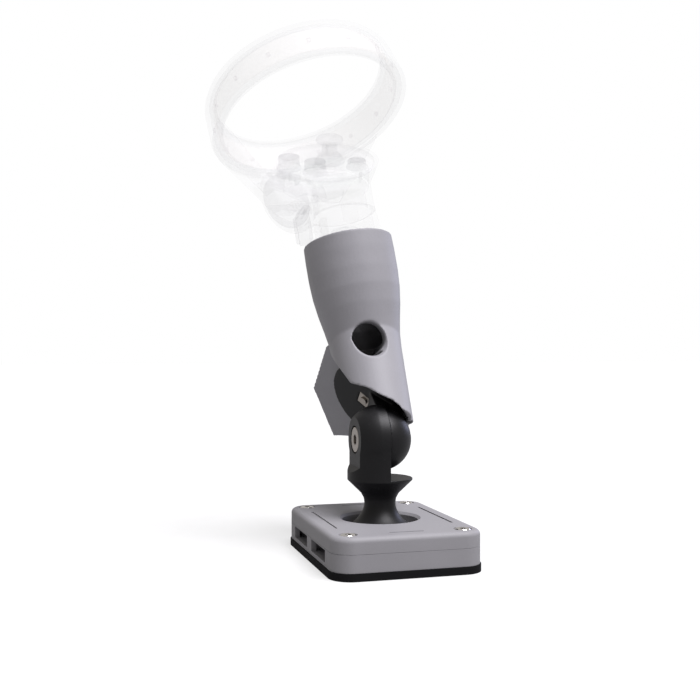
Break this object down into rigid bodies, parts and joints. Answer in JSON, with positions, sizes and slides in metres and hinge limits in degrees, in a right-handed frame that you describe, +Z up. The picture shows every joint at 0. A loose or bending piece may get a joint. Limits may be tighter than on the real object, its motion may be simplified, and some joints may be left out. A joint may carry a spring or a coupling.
{
  "type": "vr motion controller on tilt mount",
  "caption": "Hand-held motion controller with a tracking ring, seated in a tapered cup on a two-pivot black elbow and a low strap-on base.",
  "frame": {"origin": "centre of the underside of the rubber pad, on the floor", "axes": "+Z up along the stem; +Y to the back, the way the cup leans; +X to the right, along the lower pivot"},
  "size_m": [0.1113, 0.143, 0.256],
  "materials": {
    "rubber": "matt",
    "black_plastic": "satin",
    "grey_plastic": "matt",
    "chrome": "polished",
    "steel": "brushed",
    "clear_white": "frosted",
    "clear_grey": "frosted",
    "inner_black": "matt",
    "board": "satin",
    "copper": "satin",
    "led": "gloss",
    "cell": "satin"
  },
  "bodies": {
    "base": {"rubber_pad": "rubber", "base_bottom_shell": "black_plastic", "base_top_shell": "grey_plastic", "base_screws": "chrome"},
    "stem": {"stem": "black_plastic", "swivel_bearing": "steel", "swivel_spring": "steel", "swivel_screw": "chrome", "pivot_bolt": "steel"},
    "elbow": {"elbow_link": "black_plastic", "pivot_nut": "steel", "square_nut": "steel"},
    "cup": {"cup": "grey_plastic", "cheek_screw": "steel"},
    "controller": {"handle_shell": "clear_white", "head_shell": "clear_white", "face_plate": "clear_white", "ring_shell": "clear_white", "ring_window": "clear_white", "led_flex": "copper", "leds": "led", "switch_domes": "inner_black", "stick_housing": "inner_black", "main_board": "board", "battery_cell": "cell", "battery_tray": "inner_black", "haptic_motor": "steel", "index_pin": "steel", "index_spring": "steel", "grip_pin": "steel", "grip_spring": "steel", "head_screws": "steel"},
    "index_trigger": {"index_trigger": "clear_grey"},
    "grip_trigger": {"grip_trigger": "clear_grey"},
    "button_a": {"button_a": "clear_grey"},
    "button_b": {"button_b": "clear_grey"},
    "menu_button": {"menu_button": "clear_grey"},
    "stick_gimbal": {"stick_gimbal": "steel"},
    "stick": {"stick_cap": "clear_grey"}
  },
  "joints": [
    {"name": "stem_swivel", "type": "hinge", "parent": "base", "child": "stem", "pos_m": [0, 0, 0.01], "axis": [0, 0, 1], "range_deg": [-90, 90]},
    {"name": "lower_pivot", "type": "hinge", "parent": "stem", "child": "elbow", "pos_m": [0, 0, 0.0554], "axis": [1, 0, 0], "range_deg": [-12, 10]},
    {"name": "upper_pivot", "type": "hinge", "parent": "elbow", "child": "cup", "pos_m": [0.0001, 0.027, 0.0722], "axis": [-0.7903, -0.3803, -0.4805], "range_deg": [-5, 5]},
    {"name": "controller_seat", "type": "slide", "parent": "cup", "child": "controller", "axis": [-0.1104, 0.2198, 0.9693], "range_m": [0, 0.045]},
    {"name": "index_pull", "type": "hinge", "parent": "controller", "child": "index_trigger", "pos_m": [-0.03078, 0.06019, 0.18751], "axis": [-0.8729, -0.4878, 0.0112], "range_deg": [0, 8], "stiffness_Nm_per_rad": 0.1, "springref_deg": -11.46, "deforming": ["index_spring"]},
    {"name": "grip_squeeze", "type": "hinge", "parent": "controller", "child": "grip_trigger", "pos_m": [-0.02639, 0.04415, 0.1675], "axis": [-0.0249, -0.9755, 0.2184], "range_deg": [0, 6], "stiffness_Nm_per_rad": 0.08, "springref_deg": -11.46, "deforming": ["grip_spring"]},
    {"name": "button_a_press", "type": "slide", "parent": "controller", "child": "button_a", "axis": [0.1403, 0.4972, -0.8562], "range_m": [0, 0.0013], "stiffness_N_per_m": 400, "springref_m": -0.001},
    {"name": "button_b_press", "type": "slide", "parent": "controller", "child": "button_b", "axis": [0.1403, 0.4972, -0.8562], "range_m": [0, 0.0013], "stiffness_N_per_m": 400, "springref_m": -0.001},
    {"name": "menu_press", "type": "slide", "parent": "controller", "child": "menu_button", "axis": [0.1403, 0.4972, -0.8562], "range_m": [0, 0.0007], "stiffness_N_per_m": 400, "springref_m": -0.001},
    {"name": "stick_tilt_x", "type": "hinge", "parent": "controller", "child": "stick_gimbal", "pos_m": [-0.01277, 0.04504, 0.19251], "axis": [0.9856, 0.0127, 0.1688], "range_deg": [-16, 16], "stiffness_Nm_per_rad": 0.03},
    {"name": "stick_tilt_y", "type": "hinge", "parent": "stick_gimbal", "child": "stick", "pos_m": [-0.01277, 0.04504, 0.19251], "axis": [-0.0948, 0.8675, 0.4883], "range_deg": [-16, 16], "stiffness_Nm_per_rad": 0.03}
  ]
}
